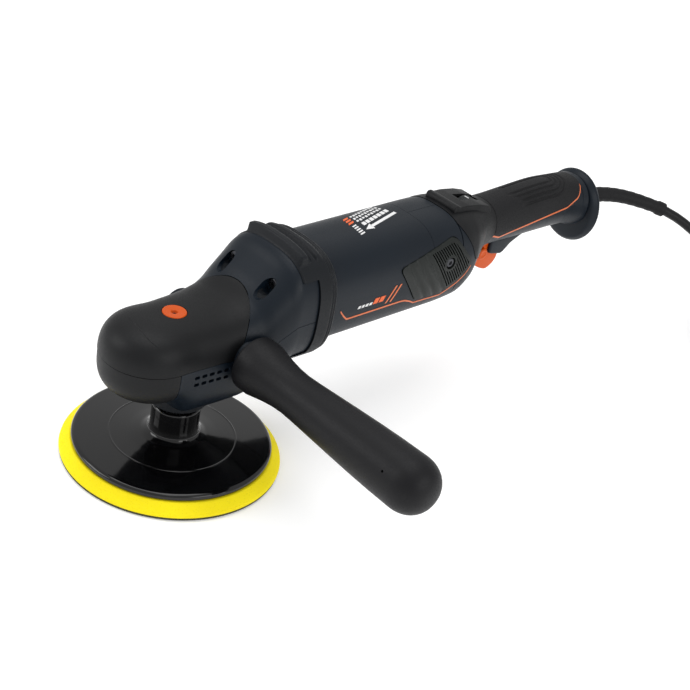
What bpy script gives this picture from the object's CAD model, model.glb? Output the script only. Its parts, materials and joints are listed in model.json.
"""The looks of a rotary polisher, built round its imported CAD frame.

Sizes are in millimetres, in the row frame: the origin is the centre of the pad's working face, +Z runs up
the spindle and +X along the tool to its rear handle. Each mesh becomes metres as it is finished.
"""

import json
import logging
import math
from dataclasses import dataclass
from enum import Enum
from typing import Callable, Iterable, Sequence

import bmesh
import bpy
from mathutils import Matrix, Vector


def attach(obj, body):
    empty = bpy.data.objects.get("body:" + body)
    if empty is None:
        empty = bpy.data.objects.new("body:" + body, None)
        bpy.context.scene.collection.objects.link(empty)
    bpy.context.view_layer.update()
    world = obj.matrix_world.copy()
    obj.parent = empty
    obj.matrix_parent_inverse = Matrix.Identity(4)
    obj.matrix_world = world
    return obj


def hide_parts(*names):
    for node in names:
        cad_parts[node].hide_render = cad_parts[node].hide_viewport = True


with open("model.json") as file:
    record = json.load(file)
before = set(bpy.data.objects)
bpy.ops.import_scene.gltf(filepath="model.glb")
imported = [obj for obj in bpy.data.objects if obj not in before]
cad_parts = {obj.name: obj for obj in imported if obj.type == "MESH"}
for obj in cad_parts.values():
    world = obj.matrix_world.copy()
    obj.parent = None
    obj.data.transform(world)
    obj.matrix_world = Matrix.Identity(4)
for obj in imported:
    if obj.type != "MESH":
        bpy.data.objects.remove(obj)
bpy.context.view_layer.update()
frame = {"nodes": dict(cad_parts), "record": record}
MM = 0.001
LOG = logging.getLogger("polisher")

Place = Callable[[float, float], Vector]
Point2 = tuple[float, float]


# ------------------------------------------------------------------------------------ surfaces
@dataclass(frozen=True)
class Station:
    """One section across the tool: a superellipse between bottom and top, half wide each side."""

    x: float
    half: float
    bottom: float
    top: float
    upper: float
    lower: float


def bulge(value: float, power: float) -> float:
    """Returns a sine or cosine squared off to a superellipse's power, with its sign kept."""
    return math.copysign(abs(value) ** (2 / power), value)


class Form:
    """A casing's outer surface, smooth through its stations."""

    def __init__(self, stations: Sequence[Sequence[float]]) -> None:
        """Keeps the stations.

        Args:
            stations: rows of x, half width, bottom, top, power of the upper half, power of the lower half.
        """
        self.stations = [Station(*row) for row in stations]

    def at(self, x: float) -> Station:
        """Blends the stations at one place along the tool.

        Args:
            x: distance along the tool.

        Returns:
            The section there.
        """
        rows = self.stations
        if x <= rows[0].x:
            return rows[0]
        if x >= rows[-1].x:
            return rows[-1]
        i = max(k for k in range(len(rows) - 1) if rows[k].x <= x)
        span = rows[i + 1].x - rows[i].x
        t = (x - rows[i].x) / span
        values = []
        for name in ("half", "bottom", "top", "upper", "lower"):
            p0, p1 = getattr(rows[i], name), getattr(rows[i + 1], name)
            m0 = self._slope(i, name) * span
            m1 = self._slope(i + 1, name) * span
            values.append(
                (2 * t**3 - 3 * t**2 + 1) * p0 + (t**3 - 2 * t**2 + t) * m0
                + (3 * t**2 - 2 * t**3) * p1 + (t**3 - t**2) * m1
            )
        return Station(x, *values)

    def _slope(self, i: int, name: str) -> float:
        """Returns a slope at station i that never overshoots its neighbours."""
        rows = self.stations
        if i in (0, len(rows) - 1):
            return 0.0
        before = (getattr(rows[i], name) - getattr(rows[i - 1], name)) / (rows[i].x - rows[i - 1].x)
        after = (getattr(rows[i + 1], name) - getattr(rows[i], name)) / (rows[i + 1].x - rows[i].x)
        if before * after <= 0:
            return 0.0
        return 2 * before * after / (before + after)

    def point(self, x: float, angle: float, proud: float = 0.0) -> Vector:
        """Finds a point of the surface.

        Args:
            x: distance along the tool.
            angle: 0 at the +Y side, a quarter turn at the top, half a turn at the -Y side.
            proud: how far the point stands off the surface.

        Returns:
            The point.
        """
        s = self.at(x)
        c, n = math.cos(angle), math.sin(angle)
        power = s.upper if n >= 0 else s.lower
        middle, rise = (s.top + s.bottom) / 2, (s.top - s.bottom) / 2
        spot = Vector((x, s.half * bulge(c, power), middle + rise * bulge(n, power)))
        return spot + self.normal(spot) * proud if proud else spot

    def _level(self, x: float, y: float, z: float) -> float:
        """Returns a measure that is 1 on the surface and grows outwards."""
        s = self.at(x)
        up = (z - (s.top + s.bottom) / 2) / ((s.top - s.bottom) / 2)
        power = s.upper if up >= 0 else s.lower
        return abs(y / s.half) ** power + abs(up) ** power

    def normal(self, spot: Vector) -> Vector:
        """Returns the outward normal at a point of the surface."""
        step = 0.05
        x, y, z = spot
        return Vector((
            self._level(x + step, y, z) - self._level(x - step, y, z),
            self._level(x, y + step, z) - self._level(x, y - step, z),
            self._level(x, y, z + step) - self._level(x, y, z - step),
        )).normalized()

    def angle_at(self, x: float, z: float) -> float:
        """Returns the angle on the +Y side at which the section at x has height z."""
        s = self.at(x)
        up = (z - (s.top + s.bottom) / 2) / ((s.top - s.bottom) / 2)
        up = max(-1.0, min(1.0, up))
        power = s.upper if up >= 0 else s.lower
        return math.asin(math.copysign(abs(up) ** (power / 2), up))

    def side_spot(self, x: float, z: float, side: float, proud: float = 0.0) -> Vector:
        """Returns the point of one side, -1 or +1, with this x and height."""
        angle = self.angle_at(x, z)
        return self.point(x, angle if side > 0 else math.pi - angle, proud)

    def top_spot(self, x: float, y: float, proud: float = 0.0) -> Vector:
        """Returns the point of the upper surface over this x and y."""
        s = self.at(x)
        across = max(-1.0, min(1.0, y / s.half))
        height = (s.top + s.bottom) / 2 + (s.top - s.bottom) / 2 * (
            1 - abs(across) ** s.upper
        ) ** (1 / s.upper)
        spot = Vector((x, y, height))
        return spot + self.normal(spot) * proud if proud else spot


HEAD_BOTTOM = 46.6
HEAD_TOP = 114.0
NECK = Form((
    (-28.6, 33.1, 62.0, HEAD_TOP, 2.8, 3.2),
    (-12, 33.8, HEAD_BOTTOM + 0.6, HEAD_TOP + 0.2, 2.8, 2.9),
    (8, 35.2, HEAD_BOTTOM, HEAD_TOP + 0.6, 2.8, 2.8),
    (24, 36.6, HEAD_BOTTOM + 0.6, 116.6, 2.8, 2.8),
    (34, 37.8, 49.5, 121, 2.8, 2.8),
    (43.5, 39, 53.5, 129.5, 2.8, 2.8),
    (53, 39.9, 59, 138, 2.8, 2.8),
    (60, 40.3, 63.5, 144.5, 2.8, 2.8),
    (63, 40.2, 64.6, 146, 2.8, 2.8),
    (80, 40, 65.6, 146, 2.8, 2.8),
))

AXIS_Z = 105.6
BARREL_HALF = 35.5
BARREL_LOW, BARREL_HIGH = AXIS_Z - BARREL_HALF, AXIS_Z + BARREL_HALF
BARREL = Form((
    (80, BARREL_HALF, BARREL_LOW, BARREL_HIGH, 2.8, 2.8),
    (204, BARREL_HALF, BARREL_LOW, BARREL_HIGH, 2.8, 2.8),
    (228, BARREL_HALF - 0.6, BARREL_LOW + 1.4, BARREL_HIGH - 0.4, 2.8, 2.8),
    (240, 33, 77, 140, 2.7, 2.7),
    (250, 28, 86, 139.2, 2.6, 2.6),
    (261, 22, 96, 137, 2.4, 2.4),
    (276, 18.4, 98, 134.4, 2.3, 2.3),
    (306, 17.5, 96.8, 136, 2.3, 2.3),
    (338, 17.5, 96.2, 137.4, 2.3, 2.3),
    (368, 17.8, 95.6, 135.2, 2.3, 2.3),
    (386, 20.5, 91.5, 133.6, 2.2, 2.2),
    (388, 20.6, 91.4, 133.6, 2.2, 2.2),
))


def along(knots: Sequence[Point2], x: float) -> float:
    """Returns the height of a broken line of (x, z) knots at x."""
    if x <= knots[0][0]:
        return knots[0][1]
    for (x0, z0), (x1, z1) in zip(knots, knots[1:]):
        if x <= x1:
            return z0 + (z1 - z0) * (x - x0) / (x1 - x0) if x1 > x0 else z1
    return knots[-1][1]


def smoothstep(low: float, high: float, value: float) -> float:
    """Returns 0 below low, 1 above high and a soft ramp between them."""
    t = max(0.0, min(1.0, (value - low) / (high - low)))
    return t * t * (3 - 2 * t)


def spread(low: float, high: float, count: int) -> list[float]:
    """Returns count + 1 evenly spaced values from low to high."""
    return [low + (high - low) * i / count for i in range(count + 1)]


# ------------------------------------------------------------------------------------ mesh tools
def sheet_mesh(place: Place, columns: int, rows: int) -> bmesh.types.BMesh:
    """Shapes a grid into a curved sheet.

    Args:
        place: gives the point at u along the columns and v along the rows, each from 0 to 1.
        columns: steps along u.
        rows: steps along v.

    Returns:
        The sheet, with its doubles merged.
    """
    bm = bmesh.new()
    bmesh.ops.create_grid(bm, x_segments=columns, y_segments=rows, size=1)
    for vert in bm.verts:
        u = round((vert.co.x + 1) / 2 * columns) / columns
        v = round((vert.co.y + 1) / 2 * rows) / rows
        vert.co = place(u, v)
    bmesh.ops.remove_doubles(bm, verts=bm.verts, dist=0.002)
    return bm


def turn_out(bm: bmesh.types.BMesh, inside: Callable[[Vector], Vector]) -> None:
    """Turns an open sheet's faces away from the inside.

    Args:
        bm: the sheet.
        inside: gives a point behind the sheet for a point on it.
    """
    bm.normal_update()
    votes = 0.0
    for face in bm.faces:
        middle = face.calc_center_median()
        votes += face.normal.dot(middle - inside(middle)) * face.calc_area()
    if votes < 0:
        bmesh.ops.reverse_faces(bm, faces=bm.faces)


def walled(bm: bmesh.types.BMesh, wall: float, inside: Callable[[Vector], Vector]) -> bmesh.types.BMesh:
    """Gives an open sheet a wall behind it.

    Args:
        bm: the sheet.
        wall: the wall's thickness.
        inside: gives a point behind the sheet for a point on it.

    Returns:
        The closed shell.
    """
    turn_out(bm, inside)
    bmesh.ops.solidify(bm, geom=bm.faces[:], thickness=wall)
    return bm


def thick_sheet(outer: Place, inner: Place, columns: int, rows: int) -> bmesh.types.BMesh:
    """Makes a closed wall between an outer and an inner sheet.

    Args:
        outer: gives the outer point at u along the columns and v along the rows.
        inner: gives the inner point behind it.
        columns: steps along u.
        rows: steps along v.

    Returns:
        The closed wall, its ends capped by a row between the two sheets.
    """
    loop = [(k / columns, True) for k in range(columns + 1)]
    loop += [(1 - k / columns, False) for k in range(columns + 1)]
    loop.append(loop[0])
    levels = [0.0, *spread(0, 1, rows), 1.0]

    def place(u: float, v: float) -> Vector:
        """Returns one point of the closed wall from its two shares."""
        share, outside = loop[round(u * (len(loop) - 1))]
        k = round(v * (len(levels) - 1))
        level = levels[k]
        if k in (0, len(levels) - 1):
            return (outer(share, level) + inner(share, level)) / 2
        return outer(share, level) if outside else inner(share, level)

    return face_out(sheet_mesh(place, len(loop) - 1, len(levels) - 1))


def thick_ring(outer: Place, inner: Place, columns: int, rows: int) -> bmesh.types.BMesh:
    """Makes a closed sleeve between an outer and an inner surface that both go right round.

    Args:
        outer: gives the outer point at u round the sleeve and v along it.
        inner: gives the point of the bore.
        columns: steps round it.
        rows: steps along it.

    Returns:
        The closed sleeve.
    """
    levels = [(level, True) for level in spread(0, 1, rows)]
    levels += [(level, False) for level in reversed(spread(0, 1, 12))]
    levels.append(levels[0])

    def place(u: float, v: float) -> Vector:
        """Returns one point of the closed wall from its two shares."""
        level, outside = levels[round(v * (len(levels) - 1))]
        return outer(u, level) if outside else inner(u, level)

    return face_out(sheet_mesh(place, columns, len(levels) - 1))


def axis_inside(middle: Vector) -> Vector:
    """Returns the point of the tool's long axis behind a point of its casing."""
    return Vector((max(middle.x, -28.6), 0, min(max(middle.z, 88), 118)))


def face_out(bm: bmesh.types.BMesh) -> bmesh.types.BMesh:
    """Turns a closed mesh's faces outwards."""
    bmesh.ops.recalc_face_normals(bm, faces=bm.faces)
    if bm.calc_volume(signed=True) < 0:
        bmesh.ops.reverse_faces(bm, faces=bm.faces)
    return bm


def merge_in(target: bmesh.types.BMesh, part: bmesh.types.BMesh) -> None:
    """Adds a mesh to another as a body of its own, and frees it."""
    spare = bpy.data.meshes.new("spare")
    part.to_mesh(spare)
    target.from_mesh(spare)
    bpy.data.meshes.remove(spare)
    part.free()


def plate_mesh(outline: Sequence[Point2], low: float, high: float, bevel: float = 0.0) -> bmesh.types.BMesh:
    """Makes a plate from its outline in the XY plane.

    Args:
        outline: its corners, in order.
        low: the height of its lower face.
        high: the height of its upper face.
        bevel: the rounding of its edges.

    Returns:
        The closed plate.
    """
    bm = bmesh.new()
    face = bm.faces.new([bm.verts.new((x, y, low)) for x, y in outline])
    grown = bmesh.ops.extrude_face_region(bm, geom=[face])
    raised = [item for item in grown["geom"] if isinstance(item, bmesh.types.BMVert)]
    bmesh.ops.translate(bm, verts=raised, vec=(0, 0, high - low))
    face_out(bm)
    if bevel:
        round_edges(bm, bevel, 40)
    return bm


def block_mesh(x: Point2, y: Point2, z: Point2, bevel: float = 0.0, segments: int = 2) -> bmesh.types.BMesh:
    """Makes a block between three pairs of limits, with rounded edges."""
    bm = bmesh.new()
    bmesh.ops.create_cube(bm, size=1)
    bmesh.ops.scale(bm, verts=bm.verts, vec=(x[1] - x[0], y[1] - y[0], z[1] - z[0]))
    bmesh.ops.translate(bm, verts=bm.verts, vec=((x[0] + x[1]) / 2, (y[0] + y[1]) / 2, (z[0] + z[1]) / 2))
    if bevel:
        round_edges(bm, bevel, 40, segments)
    return bm


def round_edges(bm: bmesh.types.BMesh, width: float, sharper: float, segments: int = 2) -> None:
    """Bevels the edges that turn more than a number of degrees."""
    edges = [e for e in bm.edges if len(e.link_faces) == 2 and e.calc_face_angle(0) > math.radians(sharper)]
    bmesh.ops.bevel(bm, geom=edges, offset=width, affect="EDGES", segments=segments, profile=0.5,
                    material=-1, clamp_overlap=True)


def turned_mesh(profile: Sequence[Point2], steps: int = 64) -> bmesh.types.BMesh:
    """Spins a profile of (radius, height) points about +Z.

    Args:
        profile: its points, in order; it starts and ends on the axis, or closes on itself.
        steps: steps in the full turn.

    Returns:
        The closed turned mesh.
    """
    bm = bmesh.new()
    verts = [bm.verts.new((radius, 0, height)) for radius, height in profile]
    edges = [bm.edges.new(pair) for pair in zip(verts, verts[1:])]
    bmesh.ops.spin(bm, geom=verts + edges, cent=(0, 0, 0), axis=(0, 0, 1), dvec=(0, 0, 0),
                   angle=2 * math.pi, steps=steps, use_merge=True, use_duplicate=False)
    bmesh.ops.remove_doubles(bm, verts=bm.verts, dist=0.0005)
    return face_out(bm)


def rounded_profile(points: Sequence[Sequence[float]], steps: int = 4) -> list[Point2]:
    """Rounds the corners of a profile.

    Args:
        points: radius, height and, where the corner is rounded, its rounding.
        steps: segments in each rounding.

    Returns:
        The finer profile.
    """
    out: list[Point2] = []
    for i, row in enumerate(points):
        corner = Vector(row[:2])
        rounding = row[2] if len(row) > 2 else 0.0
        if not rounding or i in (0, len(points) - 1):
            out.append((corner.x, corner.y))
            continue
        before = (Vector(points[i - 1][:2]) - corner).normalized() * rounding
        after = (Vector(points[i + 1][:2]) - corner).normalized() * rounding
        for k in range(steps + 1):
            t = k / steps
            spot = corner + before * (1 - t) ** 2 + after * t**2
            out.append((spot.x, spot.y))
    return out


def aimed(bm: bmesh.types.BMesh, towards: Sequence[float], start: Sequence[float]) -> bmesh.types.BMesh:
    """Turns a mesh from +Z to a direction and moves it to its start."""
    turn = Vector((0, 0, 1)).rotation_difference(Vector(towards)).to_matrix()
    bmesh.ops.rotate(bm, verts=bm.verts, cent=(0, 0, 0), matrix=turn)
    bmesh.ops.translate(bm, verts=bm.verts, vec=start)
    return bm


def rod(radius: float, start: Sequence[float], towards: Sequence[float], length: float,
        steps: int = 32) -> bmesh.types.BMesh:
    """Makes a plain round bar, for cutting holes and for pins."""
    bm = bmesh.new()
    bmesh.ops.create_cone(bm, cap_ends=True, segments=steps, radius1=radius, radius2=radius, depth=length)
    bmesh.ops.translate(bm, verts=bm.verts, vec=(0, 0, length / 2))
    return aimed(bm, towards, start)


def side_plate(outline: Sequence[Point2], y0: float, y1: float, bevel: float = 0.0) -> bmesh.types.BMesh:
    """Makes a plate from an outline in the XZ plane, between two values of y."""
    bm = plate_mesh([(x, z) for x, z in outline], y0, y1, bevel)
    for vert in bm.verts:
        vert.co = Vector((vert.co.x, vert.co.z, vert.co.y))
    return face_out(bm)


class Carving(Enum):
    """How one mesh changes another."""

    CUT = "DIFFERENCE"
    JOIN = "UNION"
    KEEP = "INTERSECT"


def carve(bm: bmesh.types.BMesh, tool: bmesh.types.BMesh, how: Carving = Carving.CUT) -> bmesh.types.BMesh:
    """Cuts, joins or trims a closed mesh with another.

    Args:
        bm: the mesh to change; it is freed.
        tool: the other mesh; it is freed.
        how: the kind of change.

    Returns:
        The changed mesh.
    """
    made = []
    for name, part in (("carved", bm), ("carver", tool)):
        mesh = bpy.data.meshes.new(name)
        part.to_mesh(mesh)
        part.free()
        made.append(bpy.data.objects.new(name, mesh))
        bpy.context.scene.collection.objects.link(made[-1])
    body, cutter = made
    step = body.modifiers.new("carve", "BOOLEAN")
    step.operation = how.value
    step.solver = "EXACT"
    step.object = cutter
    graph = bpy.context.evaluated_depsgraph_get()
    shaped = bpy.data.meshes.new_from_object(body.evaluated_get(graph))
    out = bmesh.new()
    out.from_mesh(shaped)
    for thing in made:
        mesh = thing.data
        bpy.data.objects.remove(thing)
        bpy.data.meshes.remove(mesh)
    bpy.data.meshes.remove(shaped)
    return out


@dataclass
class Piece:
    """A finished mesh of the tool, and what it stands for."""

    name: str
    mesh: bmesh.types.BMesh
    finish: bpy.types.Material
    slot: str
    body: str = "root"
    nodes: tuple[str, ...] = ()
    edge: float = 0.0
    subdivide: int = 0
    crease: float = 38.0

    def build(self) -> bpy.types.Object:
        """Makes the object, dresses it and hangs it on its body.

        Returns:
            The finished object.
        """
        bm = self.mesh
        bmesh.ops.scale(bm, verts=bm.verts, vec=(MM, MM, MM))
        for face in bm.faces:
            face.smooth = True
        for edge in bm.edges:
            edge.smooth = len(edge.link_faces) != 2 or edge.calc_face_angle(0) < math.radians(self.crease)
        mesh = bpy.data.meshes.new(self.name)
        bm.to_mesh(mesh)
        bm.free()
        obj = bpy.data.objects.new(self.name, mesh)
        bpy.context.scene.collection.objects.link(obj)
        mesh.materials.append(self.finish)
        if self.edge:
            bevel = obj.modifiers.new("Rounded edges", "BEVEL")
            bevel.width = self.edge * MM
            bevel.segments = 2
            bevel.limit_method = "ANGLE"
            bevel.angle_limit = math.radians(self.crease)
            bevel.harden_normals = True
        if self.subdivide:
            smooth = obj.modifiers.new("Smooth", "SUBSURF")
            smooth.levels = self.subdivide
            smooth.render_levels = self.subdivide
        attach(obj, self.body)
        if self.nodes:
            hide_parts(*self.nodes)
        self.slot
        LOG.info("%s: %d faces on %s", self.name, len(mesh.polygons), self.body)
        return obj


# ------------------------------------------------------------------------------------ finishes
def new_group(name: str, inputs: dict[str, tuple[str, float]], outputs: dict[str, str]) -> bpy.types.NodeTree:
    """Starts a shader node group.

    Args:
        name: the group's name.
        inputs: each input's socket type and starting value.
        outputs: each output's socket type.

    Returns:
        The group, with its sockets and its input and output nodes.
    """
    tree = bpy.data.node_groups.new(name, "ShaderNodeTree")
    for label, (kind, value) in inputs.items():
        socket = tree.interface.new_socket(name=label, in_out="INPUT", socket_type=kind)
        if kind == "NodeSocketFloat":
            socket.default_value = value
    for label, kind in outputs.items():
        tree.interface.new_socket(name=label, in_out="OUTPUT", socket_type=kind)
    tree.nodes.new("NodeGroupInput").name = "In"
    tree.nodes.new("NodeGroupOutput").name = "Out"
    return tree


def joined(
    tree: bpy.types.NodeTree, pairs: Iterable[tuple[bpy.types.NodeSocket, bpy.types.NodeSocket]]
) -> None:
    """Links pairs of sockets, each from an output to an input."""
    for source, target in pairs:
        tree.links.new(source, target)


def math_node(tree: bpy.types.NodeTree, operation: str, *values: object) -> bpy.types.NodeSocket:
    """Adds a Math node.

    Args:
        tree: the node tree.
        operation: its operation.
        values: a socket or a number for each of its inputs.

    Returns:
        Its output.
    """
    node = tree.nodes.new("ShaderNodeMath")
    node.operation = operation
    for i, value in enumerate(values):
        if isinstance(value, bpy.types.NodeSocket):
            tree.links.new(value, node.inputs[i])
        else:
            node.inputs[i].default_value = value
    return node.outputs[0]


def ramp_node(tree: bpy.types.NodeTree, source: bpy.types.NodeSocket, low: float, high: float,
              to_low: float = 0.0, to_high: float = 1.0) -> bpy.types.NodeSocket:
    """Returns the source moved smoothly from one range to another, held at its ends."""
    node = tree.nodes.new("ShaderNodeMapRange")
    node.interpolation_type = "SMOOTHSTEP"
    for label, value in (("From Min", low), ("From Max", high), ("To Min", to_low), ("To Max", to_high)):
        node.inputs[label].default_value = value
    tree.links.new(source, node.inputs["Value"])
    return node.outputs["Result"]


def mould_grain_group() -> bpy.types.NodeTree:
    """Builds the fine texture that a mould leaves on plastic and rubber."""
    tree = new_group("Mould grain", {
        "Vector": ("NodeSocketVector", 0), "Scale": ("NodeSocketFloat", 900),
        "Waviness": ("NodeSocketFloat", 0.3),
    }, {"Height": "NodeSocketFloat", "Speckle": "NodeSocketFloat"})
    start, end = tree.nodes["In"], tree.nodes["Out"]
    fine = tree.nodes.new("ShaderNodeTexNoise")
    fine.inputs["Detail"].default_value = 3
    fine.inputs["Roughness"].default_value = 0.6
    pits = tree.nodes.new("ShaderNodeTexVoronoi")
    pits.feature = "SMOOTH_F1"
    wave = tree.nodes.new("ShaderNodeTexNoise")
    wave.inputs["Scale"].default_value = 45
    joined(tree, (
        (start.outputs["Vector"], fine.inputs["Vector"]), (start.outputs["Vector"], pits.inputs["Vector"]),
        (start.outputs["Vector"], wave.inputs["Vector"]), (start.outputs["Scale"], fine.inputs["Scale"]),
        (start.outputs["Scale"], pits.inputs["Scale"]),
    ))
    mixed = math_node(
        tree, "ADD", fine.outputs["Fac"], math_node(tree, "MULTIPLY", pits.outputs["Distance"], 0.6)
    )
    wavy = math_node(tree, "MULTIPLY", wave.outputs["Fac"], start.outputs["Waviness"])
    tree.links.new(math_node(tree, "ADD", mixed, wavy), end.inputs["Height"])
    tree.links.new(ramp_node(tree, fine.outputs["Fac"], 0.35, 0.7), end.inputs["Speckle"])
    return tree


def tone_group() -> bpy.types.NodeTree:
    """Builds the slow change of shade over a surface, with a faint rubbed look on its sharp edges."""
    tree = new_group("Tone", {
        "Vector": ("NodeSocketVector", 0), "Scale": ("NodeSocketFloat", 14), "Dark": ("NodeSocketColor", 0),
        "Light": ("NodeSocketColor", 0), "Rubbed": ("NodeSocketColor", 0),
        "Rubbing": ("NodeSocketFloat", 0.2),
    }, {"Color": "NodeSocketColor", "Patch": "NodeSocketFloat", "Edge": "NodeSocketFloat"})
    start, end = tree.nodes["In"], tree.nodes["Out"]
    noise = tree.nodes.new("ShaderNodeTexNoise")
    noise.inputs["Detail"].default_value = 5
    geometry = tree.nodes.new("ShaderNodeNewGeometry")
    joined(
        tree,
        ((start.outputs["Vector"], noise.inputs["Vector"]), (start.outputs["Scale"], noise.inputs["Scale"]))
    )
    patch = ramp_node(tree, noise.outputs["Fac"], 0.3, 0.7)
    edge = ramp_node(tree, geometry.outputs["Pointiness"], 0.53, 0.62)
    worn = math_node(tree, "MULTIPLY", edge, start.outputs["Rubbing"])
    body = tree.nodes.new("ShaderNodeMix")
    body.data_type = "RGBA"
    over = tree.nodes.new("ShaderNodeMix")
    over.data_type = "RGBA"
    joined(tree, (
        (patch, body.inputs["Factor"]), (start.outputs["Dark"], body.inputs["A"]),
        (start.outputs["Light"], body.inputs["B"]), (worn, over.inputs["Factor"]),
        (body.outputs["Result"], over.inputs["A"]), (start.outputs["Rubbed"], over.inputs["B"]),
        (over.outputs["Result"], end.inputs["Color"]), (patch, end.inputs["Patch"]),
        (edge, end.inputs["Edge"]),
    ))
    return tree


def colour_of(hex_value: str) -> tuple[float, float, float, float]:
    """Returns a linear colour for a display colour such as '2b303a'."""
    channels = [int(hex_value[i:i + 2], 16) / 255 for i in (0, 2, 4)]
    linear = [c / 12.92 if c <= 0.04045 else ((c + 0.055) / 1.055) ** 2.4 for c in channels]
    return (*linear, 1.0)


def scaled(colour: Sequence[float], by: float) -> tuple[float, float, float, float]:
    """Returns a lighter or darker shade of a colour."""
    return tuple(min(1.0, c * by) for c in colour[:3]) + (1.0,)


class Pattern(Enum):
    """What a finish shows besides its mould grain."""

    PLAIN = "plain"
    BRUSHED = "brushed"
    PORES = "pores"
    HOOKS = "hooks"
    LAYERS = "layers"
    TRACKS = "tracks"
    WOUND = "wound"
    CAST = "cast"


@dataclass(frozen=True)
class Finish:
    """A maker's finish, which becomes one material."""

    name: str
    colour: str
    roughness: float
    metallic: float = 0.0
    grain: float = 900.0
    depth: float = 0.05
    variation: float = 0.12
    rubbing: float = 0.15
    coat: float = 0.0
    shine: float = 0.22
    pattern: Pattern = Pattern.PLAIN

    def material(self, groups: dict[str, bpy.types.NodeTree]) -> bpy.types.Material:
        """Builds the material.

        Args:
            groups: the shared node groups, by name.

        Returns:
            The material.
        """
        made = bpy.data.materials.new(self.name)
        made.use_nodes = True
        tree = made.node_tree
        shader = tree.nodes["Principled BSDF"]
        base = colour_of(self.colour)
        made.diffuse_color = base
        shader.inputs["Metallic"].default_value = self.metallic
        shader.inputs["Specular IOR Level"].default_value = 0.5 if self.metallic else self.shine
        if self.coat:
            shader.inputs["Coat Weight"].default_value = self.coat
            shader.inputs["Coat Roughness"].default_value = 0.08
        where = tree.nodes.new("ShaderNodeTexCoord")
        spot = tree.nodes.new("ShaderNodeMapping")
        tree.links.new(where.outputs["Object"], spot.inputs["Vector"])
        tone = tree.nodes.new("ShaderNodeGroup")
        tone.node_tree = groups["tone"]
        tone.inputs["Dark"].default_value = scaled(base, 1 - self.variation)
        tone.inputs["Light"].default_value = scaled(base, 1 + self.variation)
        tone.inputs["Rubbed"].default_value = scaled(base, 1.9)
        tone.inputs["Rubbing"].default_value = self.rubbing
        grain = tree.nodes.new("ShaderNodeGroup")
        grain.node_tree = groups["grain"]
        grain.inputs["Scale"].default_value = self.grain
        joined(tree, [(spot.outputs["Vector"], node.inputs["Vector"]) for node in (tone, grain)])
        height, colour = grain.outputs["Height"], tone.outputs["Color"]
        if self.pattern is not Pattern.PLAIN:
            height, colour = self._patterned(tree, spot.outputs["Vector"], height, colour, base)
        rough = ramp_node(
            tree, grain.outputs["Speckle"], 0, 1, self.roughness * 0.9, min(1.0, self.roughness * 1.12)
        )
        rough = math_node(tree, "MULTIPLY_ADD", tone.outputs["Patch"], -0.06 * self.roughness, rough)
        bump = tree.nodes.new("ShaderNodeBump")
        bump.inputs["Strength"].default_value = 0.6
        bump.inputs["Distance"].default_value = self.depth * MM
        joined(tree, (
            (height, bump.inputs["Height"]), (bump.outputs["Normal"], shader.inputs["Normal"]),
            (colour, shader.inputs["Base Color"]), (rough, shader.inputs["Roughness"]),
        ))
        return made

    def _patterned(
        self, tree: bpy.types.NodeTree, vector: bpy.types.NodeSocket, height: bpy.types.NodeSocket,
        colour: bpy.types.NodeSocket, base: Sequence[float],
    ) -> tuple[bpy.types.NodeSocket, bpy.types.NodeSocket]:
        """Adds this finish's pattern.

        Args:
            tree: the material's nodes.
            vector: the place on the piece.
            height: the height so far.
            colour: the colour so far.
            base: the finish's own colour.

        Returns:
            The height and the colour with the pattern in them.
        """
        place = tree.nodes.new("ShaderNodeMapping")
        stretched = {Pattern.BRUSHED: (40, 900, 900), Pattern.TRACKS: (1, 1, 0)}
        place.inputs["Scale"].default_value = stretched.get(self.pattern, (1, 1, 1))
        tree.links.new(vector, place.inputs["Vector"])
        if self.pattern in (Pattern.LAYERS, Pattern.WOUND):
            marks = tree.nodes.new("ShaderNodeTexWave")
            marks.bands_direction = "X" if self.pattern is Pattern.LAYERS else "Z"
            marks.inputs["Scale"].default_value = 320 if self.pattern is Pattern.LAYERS else 260
            marks.inputs["Distortion"].default_value = 0.4
            value = marks.outputs["Fac"]
        elif self.pattern in (Pattern.PORES, Pattern.HOOKS, Pattern.TRACKS):
            marks = tree.nodes.new("ShaderNodeTexVoronoi")
            marks.feature = "F1" if self.pattern is not Pattern.TRACKS else "DISTANCE_TO_EDGE"
            marks.inputs["Scale"].default_value = {
                Pattern.PORES: 700, Pattern.HOOKS: 620, Pattern.TRACKS: 160
            }[self.pattern]
            value = marks.outputs["Distance"]
        else:
            marks = tree.nodes.new("ShaderNodeTexNoise")
            marks.inputs["Scale"].default_value = 3 if self.pattern is Pattern.BRUSHED else 320
            marks.inputs["Detail"].default_value = 4
            value = marks.outputs["Fac"]
        tree.links.new(place.outputs["Vector"], marks.inputs["Vector"])
        faint = self.pattern is Pattern.PORES
        mask = ramp_node(tree, value, 0.05 if faint else 0.2, 0.35 if faint else 0.75)
        mix = tree.nodes.new("ShaderNodeMix")
        mix.data_type = "RGBA"
        mix.inputs["A"].default_value = scaled(base, 0.86 if faint else 0.62)
        tree.links.new(mask, mix.inputs["Factor"])
        tree.links.new(colour, mix.inputs["B"])
        return math_node(tree, "MULTIPLY_ADD", mask, 0.8, height), mix.outputs["Result"]


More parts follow.
